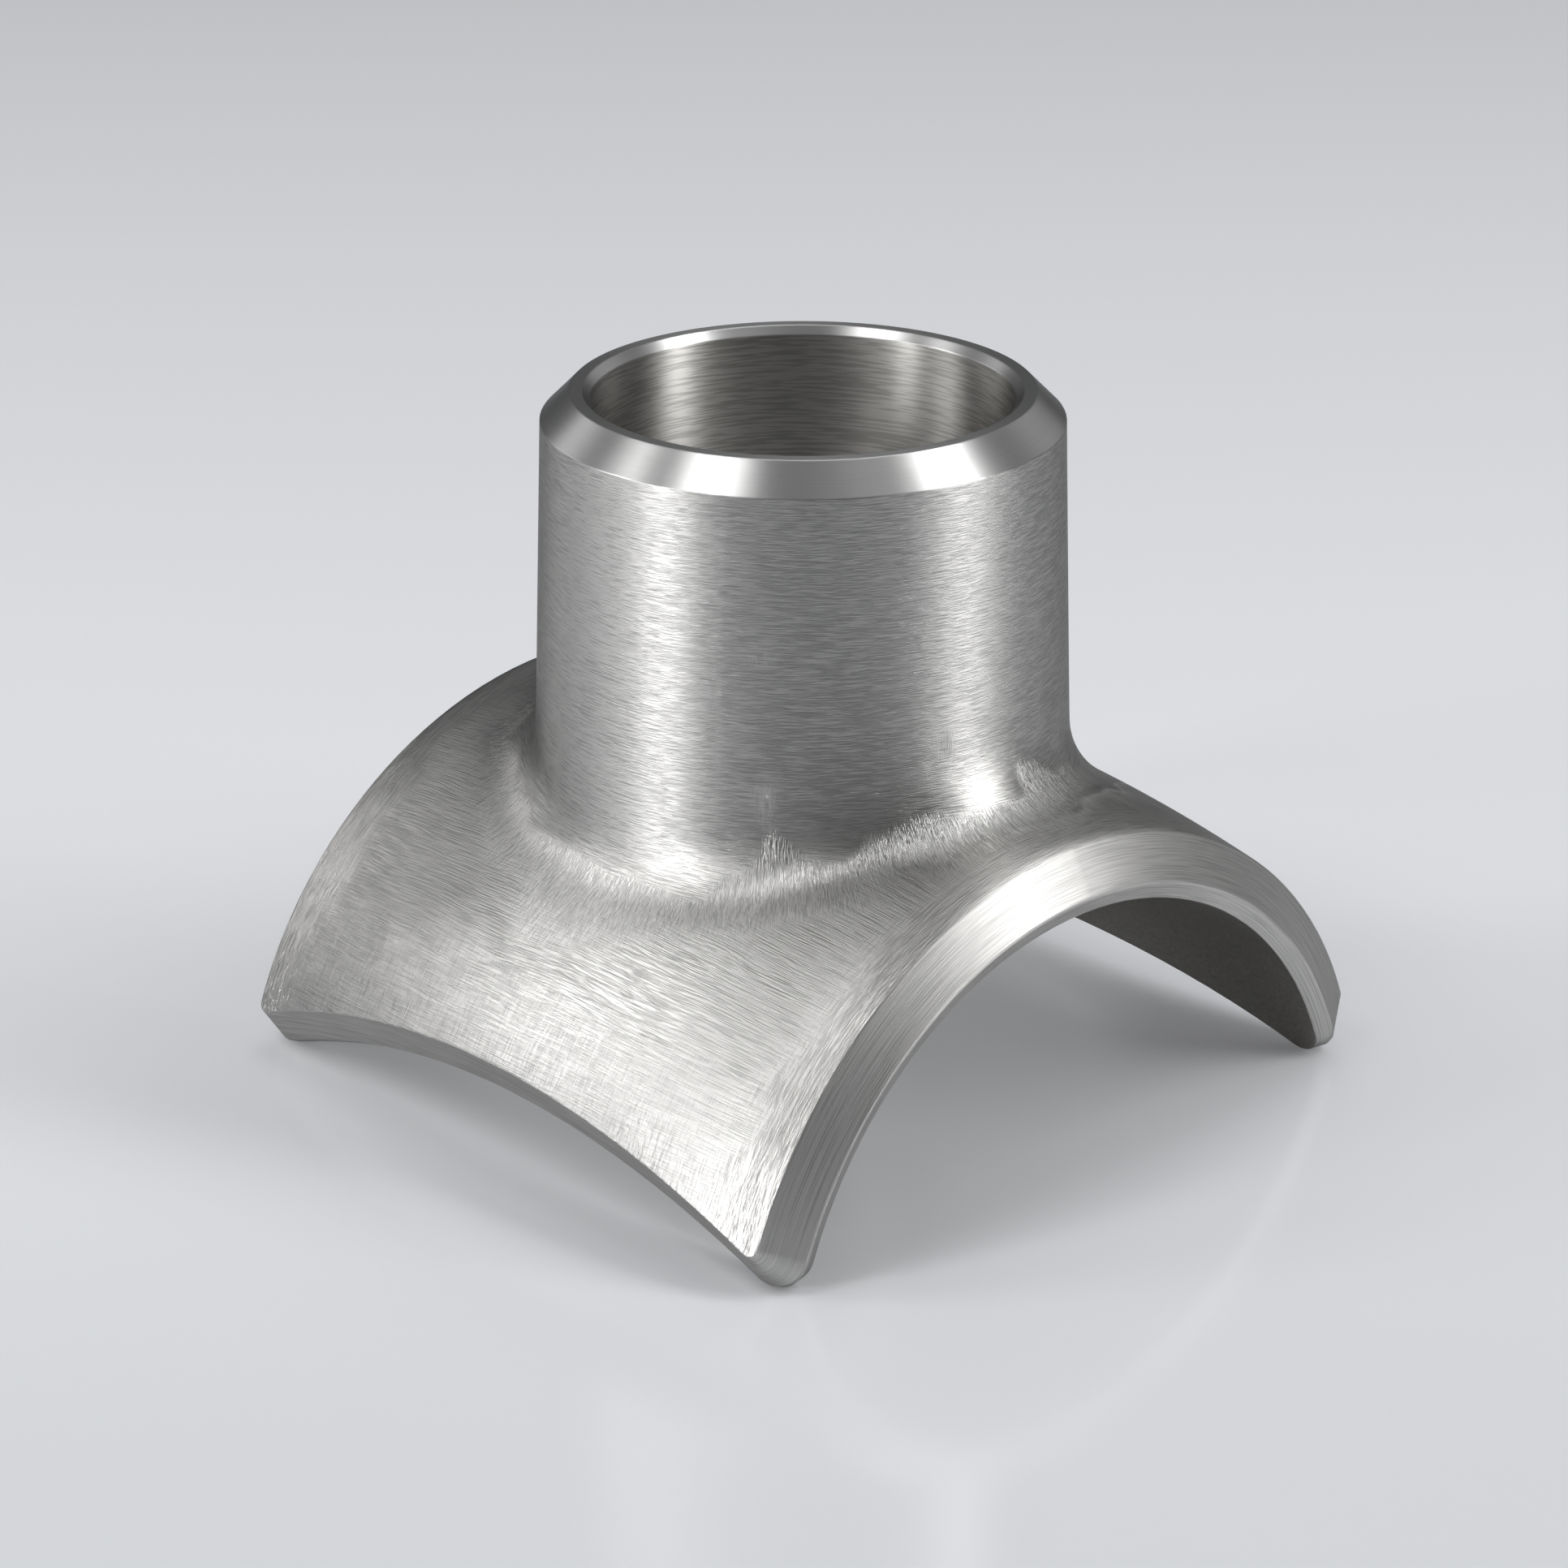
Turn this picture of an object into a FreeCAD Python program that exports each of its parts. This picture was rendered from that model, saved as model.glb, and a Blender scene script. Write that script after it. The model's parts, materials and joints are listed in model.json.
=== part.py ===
import FreeCAD, Part
import math
import os

# A forged steel branch outlet: a round stem, butt welded to the branch pipe, grows
# out of a saddle that sits on the run pipe and is welded to it all round its rim.
# Lengths are in millimetres. X runs along the run pipe and Z up along the stem.
# The part is drawn about the run pipe's centre line and then set down on its feet.

# saddle on the run pipe
RUN_PIPE_R = 44.45            # outside radius of the run pipe
SADDLE_WALL = 6.7             # thickness of the saddle at its end faces
SWELL_ARC_R = 242.5           # long arc that thickens the saddle towards the stem
SADDLE_LENGTH = 93.0          # along the run pipe, end face to end face
CROWN_HEIGHT = 19.0           # crown of each side arch above the run centre line
SIDE_RISE = 9.2               # crown of each side arch above the foot corners

# weld preparation round the saddle's rim
RIM_BEVEL_ANGLE = 32.0        # degrees, from square across the wall
RIM_LAND = 0.35               # narrow flat between the outer and the inner bevel
RIM_INNER_WIDTH = 1.85        # inner bevel, across the wall
RIM_INNER_RUN = 0.9           # inner bevel, along the pipe surface
CORNER_R = 1.2                # corner of the outer edge over each foot

# stem and its weld end
STEM_R = 30.15                # outside radius at the foot of the weld bevel
STEM_WALL = 5.8
STEM_TAPER = 1.8              # degrees, the stem widens towards the saddle
END_HEIGHT = 95.4             # weld end above the run centre line
END_BEVEL_ANGLE = 45.0        # degrees from the stem's axis
END_LAND = 1.5                # flat ring at the top
END_CHAMFER_WIDTH = 0.9       # chamfer inside the bore's mouth
END_CHAMFER_DEPTH = 1.0

# blends
NECK_R = 8.0                  # outside, between stem and saddle
THROAT_R = 3.0                # inside, between bore and pipe surface

# what follows from these sizes
SADDLE_R = RUN_PIPE_R + SADDLE_WALL
HALF_LENGTH = SADDLE_LENGTH / 2
SADDLE_SWELL = SWELL_ARC_R - math.sqrt(SWELL_ARC_R ** 2 - HALF_LENGTH ** 2)
RIM_BEVEL_WIDTH = SADDLE_WALL - RIM_LAND - RIM_INNER_WIDTH
RIM_BEVEL_RUN = RIM_BEVEL_WIDTH * math.tan(math.radians(RIM_BEVEL_ANGLE))
FOOT_R = CORNER_R + RIM_BEVEL_RUN
SIDE_RADIUS = (HALF_LENGTH ** 2 + SIDE_RISE ** 2) / (2 * SIDE_RISE)
CROWN_ANGLE = math.asin(CROWN_HEIGHT / RUN_PIPE_R)
BORE_R = STEM_R - STEM_WALL
END_BEVEL_WIDTH = STEM_WALL - END_LAND - END_CHAMFER_WIDTH
BEVEL_FOOT_Z = END_HEIGHT - END_BEVEL_WIDTH / math.tan(math.radians(END_BEVEL_ANGLE))
STEM_BASE_R = STEM_R + BEVEL_FOOT_Z * math.tan(math.radians(STEM_TAPER))

ORIGIN = FreeCAD.Vector(0, 0, 0)
RUN_AXIS = FreeCAD.Vector(1, 0, 0)
ACROSS = FreeCAD.Vector(0, 1, 0)
STEM_AXIS = FreeCAD.Vector(0, 0, 1)
BORE_SEAM = 45.0              # degrees, keeps the bore's closing line off the end arches
TINY = 0.01                   # lengths closer than this are the same


def lies_on_pipe(edge, radius):
    """True for an edge on the round surface of this radius about the run centre line."""
    points = edge.discretize(7)
    return all(abs(math.hypot(point.y, point.z) - radius) < TINY for point in points)


def lies_on_end(edge):
    """True for an edge in the flat end of the saddle."""
    return all(abs(point.x - HALF_LENGTH) < TINY for point in edge.discretize(7))


def lies_round_stem(edge, radius):
    """True for an edge that stays within this radius of the stem's axis."""
    return all(math.hypot(point.x, point.y) < radius + TINY for point in edge.discretize(7))


def outside_radius(x):
    """Outside radius of the saddle at this distance from the stem's axis."""
    lowered = SWELL_ARC_R - math.sqrt(SWELL_ARC_R ** 2 - x ** 2)
    return SADDLE_R + SADDLE_SWELL - lowered


def quarter_wall():
    """Quarter of the wall that the saddle is cut from, flat at its end.

    Its outside swells in one long arc from the end face to the middle.
    """
    middle, between, end = [FreeCAD.Vector(x, 0, outside_radius(x))
                            for x in (0, HALF_LENGTH / 2, HALF_LENGTH)]
    end_centre = RUN_AXIS * HALF_LENGTH
    outline = Part.Wire([
        Part.makeLine(ORIGIN, middle),
        Part.Arc(middle, between, end).toShape(),
        Part.makeLine(end, end_centre),
        Part.makeLine(end_centre, ORIGIN),
    ])
    outside = Part.Face(outline).revolve(ORIGIN, RUN_AXIS, 90)
    inside = Part.makeCylinder(RUN_PIPE_R, HALF_LENGTH, ORIGIN, RUN_AXIS)
    return outside.cut(inside)


def side_arch_cutter():
    """Large round bar whose top gives the shallow side arch.

    It stands square to the wall at the crown of the arch.
    """
    outward = FreeCAD.Vector(0, -math.cos(CROWN_ANGLE), math.sin(CROWN_ANGLE))
    down = FreeCAD.Vector(0, -math.sin(CROWN_ANGLE), -math.cos(CROWN_ANGLE))
    return Part.makeCylinder(SIDE_RADIUS, 2 * SADDLE_R, down * SIDE_RADIUS, outward)


def is_foot_corner(edge):
    """True for the edge through the wall where the end face meets the side arch."""
    first = edge.Vertexes[0].Point
    last = edge.Vertexes[-1].Point
    across_wall = abs(math.hypot(first.y, first.z) - math.hypot(last.y, last.z))
    at_side = abs(first.y) > TINY and abs(last.y) > TINY
    return lies_on_end(edge) and at_side and across_wall > SADDLE_WALL / 2


def end_arch(shape, radius):
    """Edges of the end face that lie on the pipe wall's surface of this radius."""
    return [edge for edge in shape.Edges if lies_on_end(edge) and lies_on_pipe(edge, radius)]


def bevelled(shape, pipe_radius, run, width):
    """Bevel the rim, run measured along the pipe surface and width across the wall.

    The first distance of a chamfer counts on the first listed face beside the edge.
    """
    edges = end_arch(shape, pipe_radius)
    first_face = next(face for face in shape.Faces
                      if any(side.isSame(edges[0]) for side in face.Edges))
    starts_on_end = first_face.BoundBox.XLength < TINY
    distances = (width, run) if starts_on_end else (run, width)
    return shape.makeChamfer(*distances, edges)


def quarter_saddle():
    """A quarter of the saddle, bevelled outside and inside round its rim and foot."""
    quarter = quarter_wall().cut(side_arch_cutter())
    foot_corners = [edge for edge in quarter.Edges if is_foot_corner(edge)]
    quarter = quarter.makeFillet(FOOT_R, foot_corners)
    quarter = bevelled(quarter, SADDLE_R, RIM_BEVEL_RUN, RIM_BEVEL_WIDTH)
    return bevelled(quarter, RUN_PIPE_R, RIM_INNER_RUN, RIM_INNER_WIDTH)


def saddle():
    """Four equal quarters joined into one saddle."""
    quarter = quarter_saddle()
    half = quarter.fuse(quarter.mirror(ORIGIN, RUN_AXIS))
    whole = half.fuse(half.mirror(ORIGIN, ACROSS))
    return whole.removeSplitter()


def turned(profile, seam):
    """Solid turned about the stem's axis from points given as (radius, height)."""
    points = [FreeCAD.Vector(radius, 0, height) for radius, height in profile]
    face = Part.Face(Part.makePolygon(points + points[:1]))
    face.rotate(ORIGIN, STEM_AXIS, seam)
    return face.revolve(ORIGIN, STEM_AXIS, 360)


def stem():
    """Tapered outside of the stem with its weld bevel, standing on the pipe surface."""
    profile = [
        (0, 0),
        (STEM_BASE_R, 0),
        (STEM_R, BEVEL_FOOT_Z),
        (STEM_R - END_BEVEL_WIDTH, END_HEIGHT),
        (0, END_HEIGHT),
    ]
    run_pipe = Part.makeCylinder(
        RUN_PIPE_R, SADDLE_LENGTH, FreeCAD.Vector(-HALF_LENGTH, 0, 0), RUN_AXIS)
    return turned(profile, 0).cut(run_pipe)


def bore():
    """Round passage through the stem, chamfered at its mouth."""
    profile = [
        (0, 0),
        (BORE_R, 0),
        (BORE_R, END_HEIGHT - END_CHAMFER_DEPTH),
        (BORE_R + END_CHAMFER_WIDTH, END_HEIGHT),
        (0, END_HEIGHT),
    ]
    return turned(profile, BORE_SEAM)


def lies_on_stem(point):
    """True for a point on the stem's tapered side, below its weld bevel."""
    radius = STEM_BASE_R - point.z * math.tan(math.radians(STEM_TAPER))
    on_side = abs(math.hypot(point.x, point.y) - radius) < TINY
    return on_side and point.z < BEVEL_FOOT_Z - TINY


def neck_ring(shape):
    """Edges where the stem's side runs into the outside of the saddle."""
    return [edge for edge in shape.Edges
            if all(lies_on_stem(point) for point in edge.discretize(7))]


def throat_ring(shape):
    """Edges where the bore runs into the inside of the saddle."""
    return [edge for edge in shape.Edges
            if lies_on_pipe(edge, RUN_PIPE_R) and lies_round_stem(edge, BORE_R)]


def branch_outlet():
    """Saddle and stem blended into one forging and bored through."""
    body = saddle().fuse(stem()).removeSplitter()
    body = body.makeFillet(NECK_R, neck_ring(body))
    body = body.cut(bore())
    body = body.makeFillet(THROAT_R, throat_ring(body))
    return body.Solids[0]


def set_down(shape):
    """Move the part so that its four feet stand on the level z = 0."""
    lowest = shape.optimalBoundingBox(False, False).ZMin
    shape.translate(FreeCAD.Vector(0, 0, -lowest))
    return shape


os.makedirs("parts", exist_ok=True)
set_down(branch_outlet()).exportStep("parts/branch_outlet.step")
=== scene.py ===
import json
import math

import bpy
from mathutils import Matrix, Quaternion, Vector


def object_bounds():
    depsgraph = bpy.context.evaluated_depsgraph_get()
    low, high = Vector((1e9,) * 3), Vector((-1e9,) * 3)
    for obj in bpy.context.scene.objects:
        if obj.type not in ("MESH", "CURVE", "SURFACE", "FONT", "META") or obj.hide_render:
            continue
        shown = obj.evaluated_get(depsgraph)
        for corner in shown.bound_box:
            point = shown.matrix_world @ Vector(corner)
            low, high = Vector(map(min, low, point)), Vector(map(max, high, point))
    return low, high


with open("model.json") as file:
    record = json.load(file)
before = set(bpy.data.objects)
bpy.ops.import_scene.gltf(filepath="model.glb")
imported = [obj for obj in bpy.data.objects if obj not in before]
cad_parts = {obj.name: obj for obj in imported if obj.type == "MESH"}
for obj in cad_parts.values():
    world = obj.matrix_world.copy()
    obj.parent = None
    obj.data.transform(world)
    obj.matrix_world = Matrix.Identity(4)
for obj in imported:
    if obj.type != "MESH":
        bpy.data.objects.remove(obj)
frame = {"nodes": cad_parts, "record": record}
cad_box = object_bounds()


# The branch outlet is one steel forging: a round stem on a saddle that wraps the run pipe.
# It is bored through and machined at its weld ends, so it is one piece of steel, and only
# the way it was finished changes from one surface to the next.
fitting = frame["nodes"]["branch_outlet"]
mounts = {mount["name"]: mount for mount in frame["record"]["mounts"]}
BORE_R = mounts["branch_bore"]["dims"]["r_mm"] / 1000
WELD_END_Z = mounts["weld_end"]["pos_m"][2]
RUN_PIPE_R = 0.04445
RUN_AXIS_Z = mounts["run_pipe"]["pos_m"][2] - RUN_PIPE_R
HALF_LENGTH = cad_box[1][0]
SADDLE_WALL = 0.0067              # thickness of the saddle at its end faces
SADDLE_SWELL = 0.0045             # how much thicker it is half way
WELD_BEVEL_HEIGHT = 0.0034
THROAT_R = 0.003
SKIN = 0.00006                    # faces closer to a surface than this lie on it

FINISHES = ["hand_brushed", "turned_bright", "bored", "ground_rim", "dull_inside"]


def saddle_radius(x):
    """Outside radius of the saddle, which swells in one long arc towards the middle."""
    arc_radius = (HALF_LENGTH ** 2 + SADDLE_SWELL ** 2) / (2 * SADDLE_SWELL)
    lowered = arc_radius - math.sqrt(arc_radius ** 2 - x ** 2)
    return RUN_PIPE_R + SADDLE_WALL + SADDLE_SWELL - lowered


def finish_at(point):
    """Name of the finish on the surface at this point of the fitting."""
    from_stem_axis = math.hypot(point.x, point.y)
    from_run_axis = math.hypot(point.y, point.z - RUN_AXIS_Z)
    if point.z > WELD_END_Z - WELD_BEVEL_HEIGHT and from_stem_axis > BORE_R + SKIN:
        return "turned_bright"
    if from_stem_axis < BORE_R + SKIN:
        return "bored"
    if from_run_axis < RUN_PIPE_R + SKIN:
        return "dull_inside"
    if from_stem_axis < BORE_R + THROAT_R + SKIN and from_run_axis < RUN_PIPE_R + THROAT_R:
        return "dull_inside"
    if from_run_axis < saddle_radius(point.x) - SKIN:
        return "ground_rim"
    return "hand_brushed"


fitting.data.materials.clear()
for finish in FINISHES:
    fitting.data.materials.append(bpy.data.materials.new(finish))
for face in fitting.data.polygons:
    face.material_index = FINISHES.index(finish_at(face.center))


# The stem, the neck and the outside of the saddle are brushed by hand after forging. Fine
# strokes run round the stem, turn down over the neck, and lie along the run pipe on the
# saddle, crossed by a second pass towards the sides and drawn along the end arches.
STEEL = (0.445, 0.44, 0.43)
GRAZING_TINT = (0.35, 0.35, 0.35, 1.0)   # the steel darkens where it is seen edge on
STEM_ROUGHNESS = 0.38
SADDLE_ROUGHNESS = 0.31
EDGE_SOFTNESS = 0.0003            # every edge is worn round over this distance
NECK_SOFTNESS = 0.0035            # and the neck, smoothed by hand, over this much more
BRUSHED_DEPTH = 0.00003           # of the strokes, in metres

MM = 1000.0                       # millimetres in a metre: strokes and zones are in them
ROUND_STEM = (3.0, 3.0, 0.09)     # strokes long round the stem and fine down it
DOWN_NECK = (0.11, 1.9, 1.0)      # fine round the neck and long down it
ALONG_RUN = (5.0, 0.1, 2.0)       # long along the run pipe and fine round it
ROUND_RUN = (0.11, 4.0, 2.0)      # fine along the run pipe and long round it
NECK_MIDDLE_R = 36.0
SADDLE_MIDDLE_R = 52.0
HAND_DRIFT = 0.8                  # how far a stroke wanders off its line
DRIFT_SCALE = 0.08                # and how often, for each millimetre of its way
PATCH = 9.0                       # two ways of brushing meet in patches of this size
NECK_ZONE = (36.5, 38.5)          # from the stem's axis: the strokes turn down the neck
SADDLE_ZONE = (40.0, 46.0)        # from the stem's axis: they turn along the run pipe
ARCH_ZONE = (39.0, 46.0)          # from the middle: they turn along the end arch
SIDE_ZONE = (42.0, 52.0)          # from the middle: the second pass sets in
SECOND_PASS = 0.45                # its share at the sides
SOFT_HEIGHT = (74.0, 60.0)        # the softness sets in from here down
SOFT_REACH = (50.0, 42.0)         # and from here in to the stem
STEM_TILT = (0.15, 0.05)          # the round stem is tilted less than this
NECK_LEAN = 0.35                  # how far the gloss follows the strokes over the neck

LINE_LEVELS = (0.34, 0.62)        # noise from a groove's bottom to its brim
HAZE_SHARE = 0.4
HAZE_FINENESS = 0.6
HAZE_SHIFT = (31.0, 17.0, 43.0)   # keeps the haze apart from the lines
SHADED_HEIGHTS = (0.3, 0.7)       # of the strokes, from the darkest to the palest steel


def feed(tree, socket, value):
    """Give a socket a plain value or another node's output."""
    if isinstance(value, bpy.types.NodeSocket):
        tree.links.new(value, socket)
    else:
        socket.default_value = value


def add_node(tree, kind, inputs, **settings):
    """One node of a finish. An input is a plain value or another node's output."""
    made = tree.nodes.new("ShaderNode" + kind)
    for name, value in settings.items():
        setattr(made, name, value)
    for name, value in inputs.items():
        feed(tree, made.inputs[name], value)
    return made


def value_of(tree, operation, *terms):
    """Arithmetic on numbers of the surface."""
    return add_node(tree, "Math", dict(enumerate(terms)), operation=operation).outputs[0]


def vector_of(tree, operation, *terms):
    """Arithmetic on places and directions of the surface."""
    made = add_node(tree, "VectorMath", dict(enumerate(terms)), operation=operation)
    return made.outputs["Value" if operation in ("LENGTH", "DOT_PRODUCT") else "Vector"]


def scaled(tree, vector, factor):
    """Place, direction or colour multiplied by a number."""
    made = add_node(tree, "VectorMath", {0: vector, "Scale": factor}, operation="SCALE")
    return made.outputs["Vector"]


def parts_of(tree, vector):
    """X, Y and Z of a place or direction."""
    return add_node(tree, "SeparateXYZ", {0: vector}).outputs


def joined(tree, x=0.0, y=0.0, z=0.0):
    """Place or direction from its X, Y and Z."""
    return add_node(tree, "CombineXYZ", {"X": x, "Y": y, "Z": z}).outputs[0]


def fade(tree, value, start, end):
    """0 on the start's side and 1 on the end's side, changing smoothly between them."""
    inputs = {"Value": value, "From Min": start, "From Max": end}
    made = add_node(tree, "MapRange", inputs, interpolation_type="SMOOTHSTEP")
    return made.outputs["Result"]


def blended(tree, amount, first, second):
    """Mix of two numbers."""
    made = add_node(tree, "Mix", {0: amount, 2: first, 3: second}, data_type="FLOAT")
    return made.outputs[0]


def turned_towards(tree, amount, first, second):
    """Mix of two directions."""
    made = add_node(tree, "Mix", {0: amount, 4: first, 5: second}, data_type="VECTOR")
    return made.outputs[1]


def millimetres(tree):
    """Place on the fitting in millimetres."""
    return scaled(tree, add_node(tree, "TexCoord", {}).outputs["Object"], MM)


def level_part(tree, vector):
    """The part of a place or direction that is square to the stem's axis."""
    return vector_of(tree, "MULTIPLY", vector, (1.0, 1.0, 0.0))


def round_the_stem(tree, place):
    """Direction round the stem's axis."""
    parts = parts_of(tree, place)
    backward = value_of(tree, "MULTIPLY", parts["Y"], -1.0)
    return vector_of(tree, "NORMALIZE", joined(tree, backward, parts["X"]))


def grain(tree, place, lengths, detail=2.0):
    """Noise stretched to these lengths, in millimetres, along X, Y and Z."""
    stretched = vector_of(tree, "DIVIDE", place, lengths)
    inputs = {"Vector": stretched, "Scale": 1.0, "Detail": detail, "Roughness": 0.6}
    return add_node(tree, "TexNoise", inputs).outputs["Fac"]


def strokes(tree, place, lengths):
    """Brush marks: dark lines of these lengths over a haze of shorter, finer ones."""
    lines = fade(tree, grain(tree, place, lengths, detail=1.5), *LINE_LEVELS)
    shifted = vector_of(tree, "ADD", place, HAZE_SHIFT)
    finer = tuple(length * HAZE_FINENESS for length in lengths)
    return blended(tree, HAZE_SHARE, lines, grain(tree, shifted, finer, detail=1.0))


def evenly_round(tree, normal):
    """The surface normal, turned to point straight away from or towards the stem's axis."""
    level = level_part(tree, normal)
    outward = vector_of(tree, "NORMALIZE", level_part(tree, millimetres(tree)))
    facing = value_of(tree, "SIGN", vector_of(tree, "DOT_PRODUCT", level, outward))
    reach = value_of(tree, "MULTIPLY", facing, vector_of(tree, "LENGTH", level))
    upright = joined(tree, z=parts_of(tree, normal)["Z"])
    return vector_of(tree, "ADD", scaled(tree, outward, reach), upright)


def steel_shader(tree, height, depth, along, roughness, anisotropic, colour=STEEL, streak=0.1,
                 roundness=0.0, softness=EDGE_SOFTNESS):
    """Bare steel whose gloss spreads across the strokes that run along this direction.

    The strokes are this deep, and the deep ones are darker than the crests by this streak.
    The roundness is 1 where the surface is turned about the stem's axis. The softness is
    the distance over which edges and blends are worn round.
    """
    worn = add_node(tree, "Bevel", {"Radius": softness}, samples=6).outputs["Normal"]
    smooth = turned_towards(tree, roundness, worn, evenly_round(tree, worn))
    bump = add_node(tree, "Bump", {"Height": height, "Distance": depth, "Strength": 1.0,
                                   "Normal": smooth})
    line = value_of(tree, "MULTIPLY_ADD", fade(tree, height, *SHADED_HEIGHTS), 2.0, -1.0)
    shade = value_of(tree, "MULTIPLY_ADD", line, streak, 1.0)
    shader = tree.nodes["Principled BSDF"].inputs
    shader["Metallic"].default_value = 1.0
    shader["Anisotropic"].default_value = anisotropic
    shader["Anisotropic Rotation"].default_value = 0.25
    shader["Specular Tint"].default_value = GRAZING_TINT
    feed(tree, shader["Base Color"], scaled(tree, colour, shade))
    feed(tree, shader["Roughness"], roughness)
    feed(tree, shader["Tangent"], along)
    feed(tree, shader["Normal"], bump.outputs["Normal"])


def finish_tree(name):
    """Node tree of the named finish."""
    material = bpy.data.materials[name]
    material.use_nodes = True
    return material.node_tree


def stem_distance(tree, place):
    """Distance of a place from the stem's axis."""
    return vector_of(tree, "LENGTH", level_part(tree, place))


def brushed_zones(tree, place):
    """How far a place lies in each zone of the brushing, from 0 to 1, by the zone's name."""
    parts = parts_of(tree, place)
    from_stem = stem_distance(tree, place)
    patches = grain(tree, place, (PATCH, PATCH, PATCH), detail=1.0)
    ragged = value_of(tree, "MULTIPLY", patches, PATCH)
    zones = {
        "neck": (from_stem, NECK_ZONE),
        "saddle": (from_stem, SADDLE_ZONE),
        "arch": (value_of(tree, "ABSOLUTE", parts["X"]), ARCH_ZONE),
        "side": (value_of(tree, "ABSOLUTE", parts["Y"]), SIDE_ZONE),
    }
    return {name: fade(tree, value_of(tree, "ADD", distance, ragged), *zone)
            for name, (distance, zone) in zones.items()}


def brushed_height(tree, place, zones):
    """Height of the hand's strokes, from 0 in a groove to 1 on a crest."""
    parts = parts_of(tree, place)
    wander = add_node(tree, "TexNoise", {"Vector": place, "Scale": DRIFT_SCALE, "Detail": 1.0})
    drift = scaled(tree, wander.outputs["Color"], HAND_DRIFT)

    stem_angle = value_of(tree, "ARCTAN2", parts["Y"], parts["X"])
    round_neck = value_of(tree, "MULTIPLY", stem_angle, NECK_MIDDLE_R)
    down_neck = value_of(tree, "SUBTRACT", stem_distance(tree, place), parts["Z"])
    on_neck = vector_of(tree, "ADD", joined(tree, round_neck, down_neck), drift)

    above_run = value_of(tree, "SUBTRACT", parts["Z"], RUN_AXIS_Z * MM)
    run_angle = value_of(tree, "ARCTAN2", parts["Y"], above_run)
    round_run = value_of(tree, "MULTIPLY", run_angle, SADDLE_MIDDLE_R)
    on_saddle = vector_of(tree, "ADD", joined(tree, parts["X"], round_run), drift)

    first_strokes = strokes(tree, on_saddle, ALONG_RUN)
    crossing_strokes = strokes(tree, on_saddle, ROUND_RUN)
    second_pass = value_of(tree, "MULTIPLY", zones["side"], SECOND_PASS)
    hatched = blended(tree, second_pass, first_strokes, crossing_strokes)
    saddle_strokes = blended(tree, zones["arch"], hatched, crossing_strokes)
    stem_strokes = blended(tree, zones["neck"], strokes(tree, place, ROUND_STEM),
                           strokes(tree, on_neck, DOWN_NECK))
    return blended(tree, zones["saddle"], stem_strokes, saddle_strokes)


def hand_brushed_steel():
    """Brushed outside of the stem, the neck and the saddle."""
    tree = finish_tree("hand_brushed")
    place = millimetres(tree)
    normal = add_node(tree, "NewGeometry", {}).outputs["Normal"]
    zones = brushed_zones(tree, place)

    round_way = round_the_stem(tree, place)
    neck_way = vector_of(tree, "CROSS_PRODUCT", normal, round_way)
    lean = value_of(tree, "MULTIPLY", zones["neck"], NECK_LEAN)
    stem_way = turned_towards(tree, lean, round_way, neck_way)
    way = turned_towards(tree, zones["saddle"], stem_way, (1.0, 0.0, 0.0))

    tilt = value_of(tree, "ABSOLUTE", parts_of(tree, normal)["Z"])
    low = fade(tree, parts_of(tree, place)["Z"], *SOFT_HEIGHT)
    near_stem = fade(tree, stem_distance(tree, place), *SOFT_REACH)
    by_neck = value_of(tree, "MULTIPLY", low, near_stem)
    softness = value_of(tree, "MULTIPLY_ADD", by_neck, NECK_SOFTNESS, EDGE_SOFTNESS)
    roughness = blended(tree, zones["neck"], STEM_ROUGHNESS, SADDLE_ROUGHNESS)
    steel_shader(tree, brushed_height(tree, place, zones), BRUSHED_DEPTH, way, roughness,
                 anisotropic=0.7, streak=0.17, roundness=fade(tree, tilt, *STEM_TILT),
                 softness=softness)


hand_brushed_steel()


# The branch end is turned in a lathe for the butt weld: a wide outer bevel, a flat land
# and a small chamfer inside the mouth. The cut steel is bright, with very fine rings.
BRIGHT_STEEL = (0.56, 0.56, 0.555)
TURNED_RINGS = (25.0, 25.0, 0.12)
TURNED_DEPTH = 0.000004


def turned_bright_steel():
    """Lathe turned weld end."""
    tree = finish_tree("turned_bright")
    place = millimetres(tree)
    parts = parts_of(tree, place)
    along_profile = value_of(tree, "SUBTRACT", stem_distance(tree, place), parts["Z"])
    rings = grain(tree, joined(tree, parts["X"], parts["Y"], along_profile), TURNED_RINGS)
    steel_shader(tree, rings, TURNED_DEPTH, round_the_stem(tree, place), roughness=0.32,
                 anisotropic=0.7, colour=BRIGHT_STEEL, streak=0.03, roundness=1.0)


turned_bright_steel()


# The bore is drilled and reamed through the stem. The tool leaves coarse rings, and the
# steel stays darker than outside because little light gets in.
BORED_STEEL = (0.50, 0.49, 0.47)
BORED_RINGS = (6.0, 6.0, 0.3)
BORED_DEPTH = 0.00002


def bored_steel():
    """Wall of the bore."""
    tree = finish_tree("bored")
    place = millimetres(tree)
    rings = strokes(tree, place, BORED_RINGS)
    steel_shader(tree, rings, BORED_DEPTH, round_the_stem(tree, place), roughness=0.48,
                 anisotropic=0.95, colour=BORED_STEEL, streak=0.15, roundness=1.0)


bored_steel()


# The rim is the saddle's own weld preparation. It is ground along its length all round
# the arches and the feet, which leaves long parallel lines.
GROUND_STEEL = (0.45, 0.445, 0.435)
GROUND_LINES = (0.1, 9.0, 9.0)    # width across the wall, and length along the rim
GROUND_DEPTH = 0.000016


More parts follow.
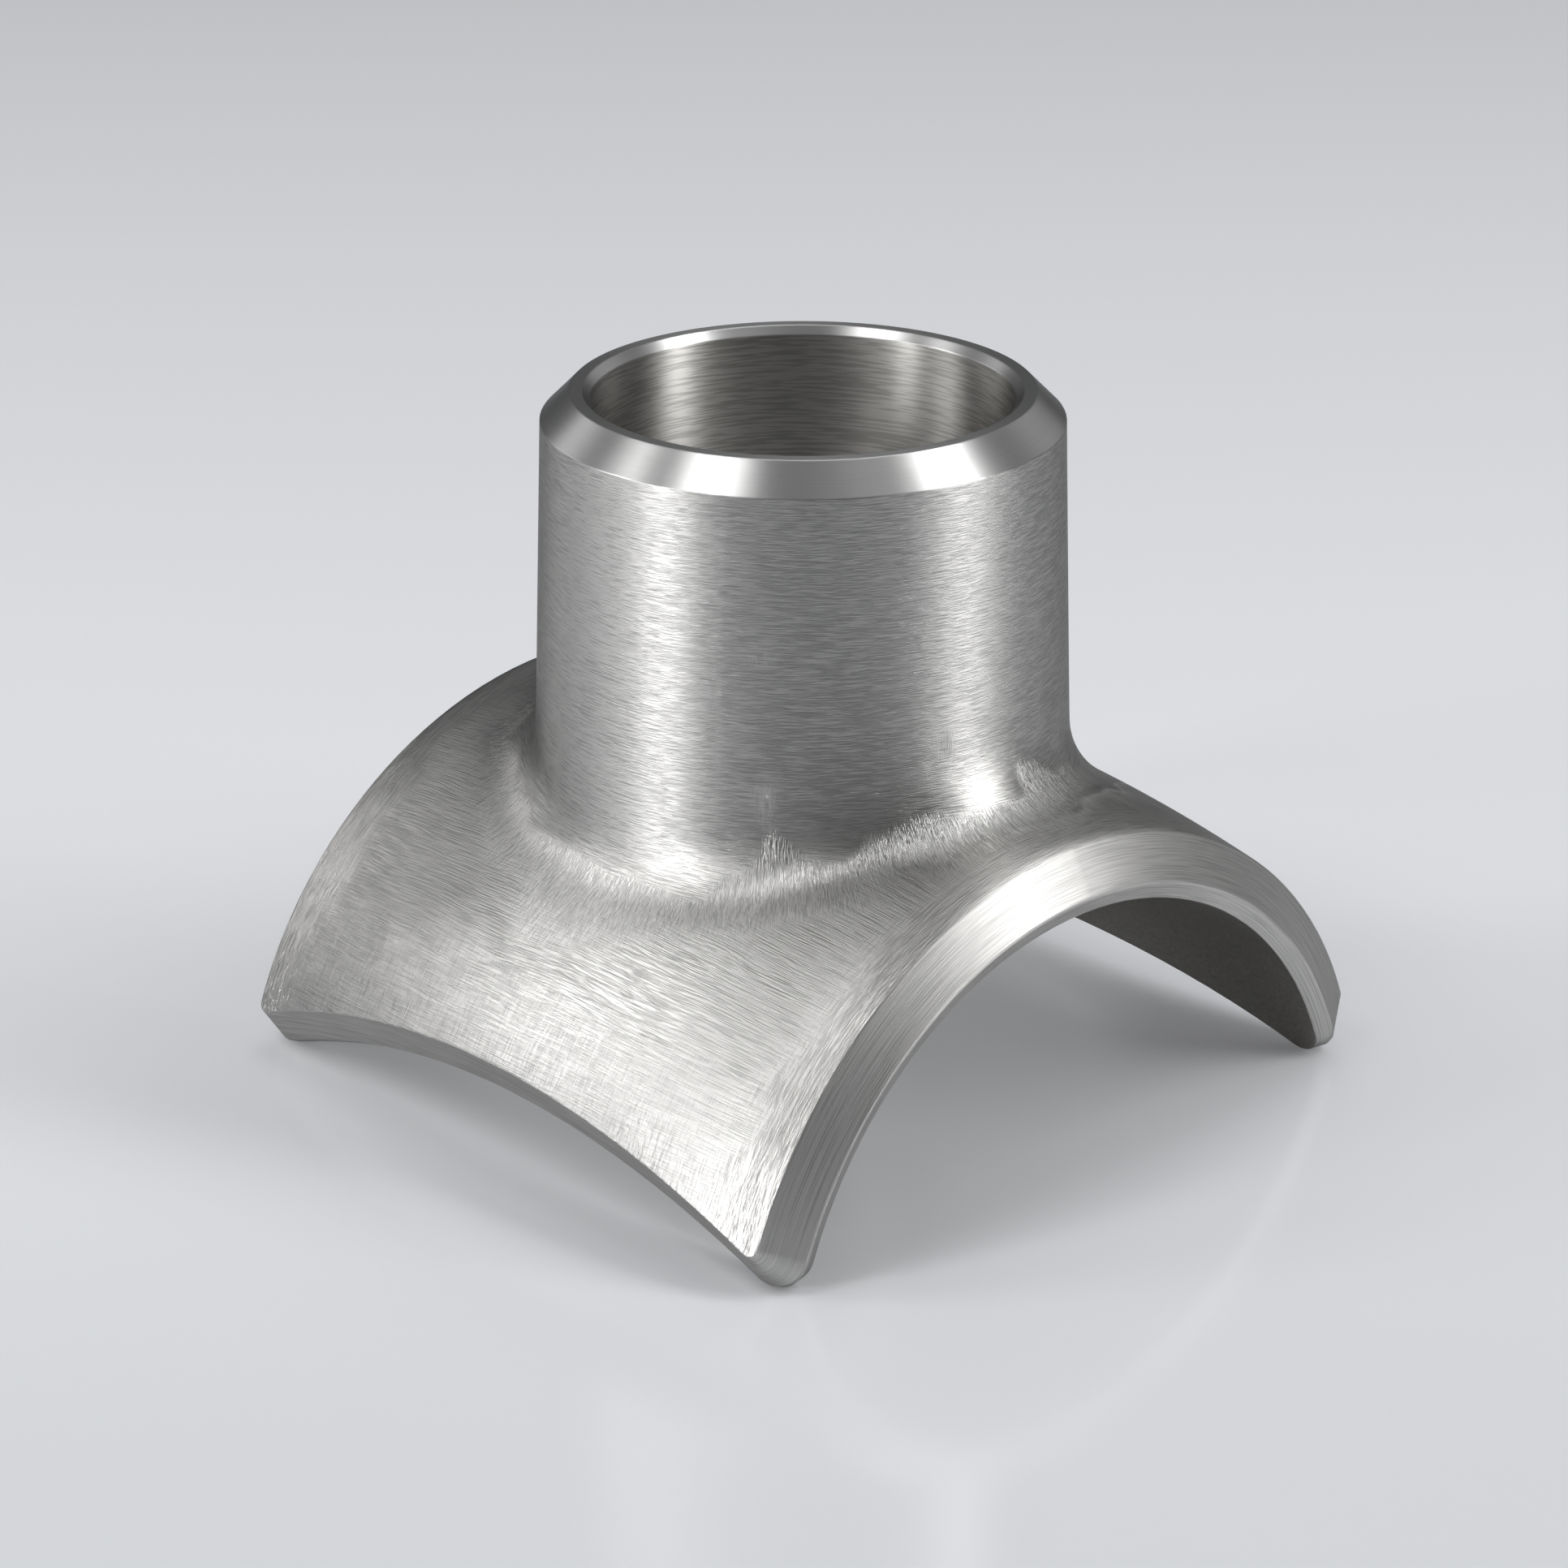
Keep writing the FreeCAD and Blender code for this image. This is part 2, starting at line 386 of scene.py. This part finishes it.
def ground_rim_steel():
    """Weld bevels round the saddle's rim."""
    tree = finish_tree("ground_rim")
    place = millimetres(tree)
    parts = parts_of(tree, place)
    above_run = value_of(tree, "SUBTRACT", parts["Z"], RUN_AXIS_Z * MM)
    from_run = joined(tree, 0.0, parts["Y"], above_run)
    across_wall = vector_of(tree, "LENGTH", from_run)
    lines = strokes(tree, joined(tree, across_wall, parts["X"], parts["Y"]), GROUND_LINES)
    normal = add_node(tree, "NewGeometry", {}).outputs["Normal"]
    along_rim = vector_of(tree, "CROSS_PRODUCT", normal, from_run)
    steel_shader(tree, lines, GROUND_DEPTH, along_rim, roughness=0.44, anisotropic=0.5,
                 colour=GROUND_STEEL, streak=0.14)


ground_rim_steel()


# The underside keeps the plain forged and blasted surface that lies against the run pipe.
# It is smooth and dull, and its colour is darkened below the outside steel as painted shade.
# darker than the outside steel: painted shade of the underside and the throat
DULL_STEEL_PAINTED_SHADE = (0.29, 0.28, 0.265)
BLASTED_GRAIN = (0.5, 0.5, 0.5)
BLASTED_DEPTH = 0.00001


def dull_inside_steel():
    """Underside of the saddle and the throat, with painted shade in its colour."""
    tree = finish_tree("dull_inside")
    place = millimetres(tree)
    pits = grain(tree, place, BLASTED_GRAIN)
    steel_shader(tree, pits, BLASTED_DEPTH, round_the_stem(tree, place), roughness=0.45,
                 anisotropic=0.0, colour=DULL_STEEL_PAINTED_SHADE)


dull_inside_steel()


# The fitting stands on a pale, slightly glossy studio table that fills the picture. It
# mirrors the feet softly, and a painted glow in its emission makes it paler the farther away it is.
TABLE_COLOUR = (0.72, 0.735, 0.76, 1.0)
TABLE_REACH = 3.0
COOL_WHITE = (0.97, 0.98, 1.0, 1.0)
FAR_WAY = (-0.73, 0.68, 0.0)
FAR_ZONE = (-0.14, 0.08)          # metres past the stem, away from the camera
FARTHEST_ZONE = (0.05, 0.7)
# strength of the table's painted glow, which grows with distance from the camera
NEAR_PAINTED_GLOW = 0.02
FAR_PAINTED_GLOW = 0.135              # added in the far zone
FARTHEST_PAINTED_GLOW = 0.085         # added once more in the farthest


def table_top():
    """Pale lacquer, with a painted glow that shows to the camera and in reflections only."""
    material = bpy.data.materials.new("table_top")
    material.use_nodes = True
    tree = material.node_tree
    place = add_node(tree, "TexCoord", {}).outputs["Object"]
    away = vector_of(tree, "DOT_PRODUCT", place, FAR_WAY)
    nearer_painted_glow = value_of(tree, "MULTIPLY_ADD", fade(tree, away, *FAR_ZONE), FAR_PAINTED_GLOW, NEAR_PAINTED_GLOW)
    palest = fade(tree, away, *FARTHEST_ZONE)
    painted_glow = value_of(tree, "MULTIPLY_ADD", palest, FARTHEST_PAINTED_GLOW, nearer_painted_glow)
    # the table glows with this painted light for the camera and for reflections only
    rays = add_node(tree, "LightPath", {}).outputs
    seen = value_of(tree, "MAXIMUM", rays["Is Camera Ray"], rays["Is Glossy Ray"])
    shader = tree.nodes["Principled BSDF"].inputs
    shader["Base Color"].default_value = TABLE_COLOUR
    shader["Roughness"].default_value = 0.5
    shader["Specular IOR Level"].default_value = 0.0
    shader["Coat Weight"].default_value = 1.0
    shader["Coat Roughness"].default_value = 0.12
    shader["Emission Color"].default_value = COOL_WHITE
    feed(tree, shader["Emission Strength"], value_of(tree, "MULTIPLY", seen, painted_glow))
    return material


def studio_table():
    """Flat table under the feet."""
    corners = [(-1, -1), (1, -1), (1, 1), (-1, 1)]
    places = [(x * TABLE_REACH, y * TABLE_REACH, 0.0) for x, y in corners]
    mesh = bpy.data.meshes.new("studio_table")
    mesh.from_pydata(places, [], [(0, 1, 2, 3)])
    mesh.materials.append(table_top())
    table = bpy.data.objects.new("studio_table", mesh)
    bpy.context.scene.collection.objects.link(table)


studio_table()


# The camera looks down on the fitting from the corner between the near end arch and the
# near side arch.
CAMERA_AZIMUTH = 46.7343
CAMERA_ELEVATION = 22.167
CAMERA_DISTANCE = 0.54629
CAMERA_TARGET = Vector((-0.007755, 0.004293, 0.03015))
CAMERA_LENS = 104.321


def towards(azimuth, elevation):
    """Direction from the fitting to a lamp or the camera, at these angles in degrees."""
    turn = math.radians(azimuth)
    rise = math.radians(elevation)
    level = math.cos(rise)
    return Vector((math.sin(turn) * level, -math.cos(turn) * level, math.sin(rise)))


def studio_camera():
    """The picture's camera."""
    back = towards(CAMERA_AZIMUTH, CAMERA_ELEVATION)
    data = bpy.data.cameras.new("studio_camera")
    data.lens = CAMERA_LENS
    data.clip_start = 0.01
    camera = bpy.data.objects.new("studio_camera", data)
    camera.location = CAMERA_TARGET + back * CAMERA_DISTANCE
    camera.rotation_euler = back.to_track_quat("Z", "Y").to_euler()
    bpy.context.scene.collection.objects.link(camera)
    bpy.context.scene.camera = camera


studio_camera()


# Narrow soft boxes to the left and right of the camera draw the bright bands on the stem,
# the weld bevel and the saddle. Weak ones light the back, and a wide one hangs high
# behind the fitting.
LAMP_AIM = Vector((0.0, 0.0, 0.04))
LAMP_DISTANCE = 0.9


def soft_box(name, turn, elevation, width, height, power, distance=LAMP_DISTANCE, lean=0.0):
    """Lamp at this turn from the camera, in degrees to its right, facing the fitting.

    Its top leans away to the right by this many degrees.
    """
    data = bpy.data.lights.new(name, "AREA")
    data.shape = "RECTANGLE"
    data.size = width
    data.size_y = height
    data.energy = power
    lamp = bpy.data.objects.new(name, data)
    back = towards(CAMERA_AZIMUTH + turn, elevation)
    lamp.location = LAMP_AIM + back * distance
    upright = back.to_track_quat("Z", "Y")
    leaning = Quaternion((0.0, 0.0, 1.0), math.radians(-lean))
    lamp.rotation_euler = (upright @ leaning).to_euler()
    bpy.context.scene.collection.objects.link(lamp)


soft_box("left_strip", -59.5, 10.0, width=0.16, height=0.34, power=2.8)
soft_box("left_strip_top", -62.0, 61.0, width=0.3, height=0.25, power=1.4)
soft_box("left_panel", -90.0, 28.0, width=0.18, height=0.5, power=1.8)
soft_box("right_strip", 79.0, 32.0, width=0.18, height=1.2, power=5.8, lean=18.0)
soft_box("left_back", -124.0, 16.0, width=0.4, height=0.4, power=0.58)
soft_box("right_back", 140.0, 22.0, width=0.4, height=0.6, power=0.25)
soft_box("top_panel", 150.0, 72.0, width=0.8, height=0.8, power=2.8, distance=1.2)


# The room round the table is dim, and a little brighter behind the fitting.
ROOM_LEVEL = 0.11
ROOM_BEHIND = 0.1                 # added behind the fitting
BEHIND_ELEVATION = 10.0
BEHIND_ZONE = (0.2, 1.0)          # from well beside the fitting to straight behind it


def dim_room():
    """Light of the room."""
    world = bpy.data.worlds.new("studio")
    world.use_nodes = True
    bpy.context.scene.world = world
    tree = world.node_tree
    behind = tuple(towards(CAMERA_AZIMUTH + 180.0, BEHIND_ELEVATION))
    way = add_node(tree, "TexCoord", {}).outputs["Generated"]
    brighter = fade(tree, vector_of(tree, "DOT_PRODUCT", way, behind), *BEHIND_ZONE)
    room = tree.nodes["Background"].inputs
    room["Color"].default_value = COOL_WHITE
    feed(tree, room["Strength"], value_of(tree, "MULTIPLY_ADD", brighter, ROOM_BEHIND, ROOM_LEVEL))


dim_room()

bpy.context.scene.view_settings.view_transform = "Standard"
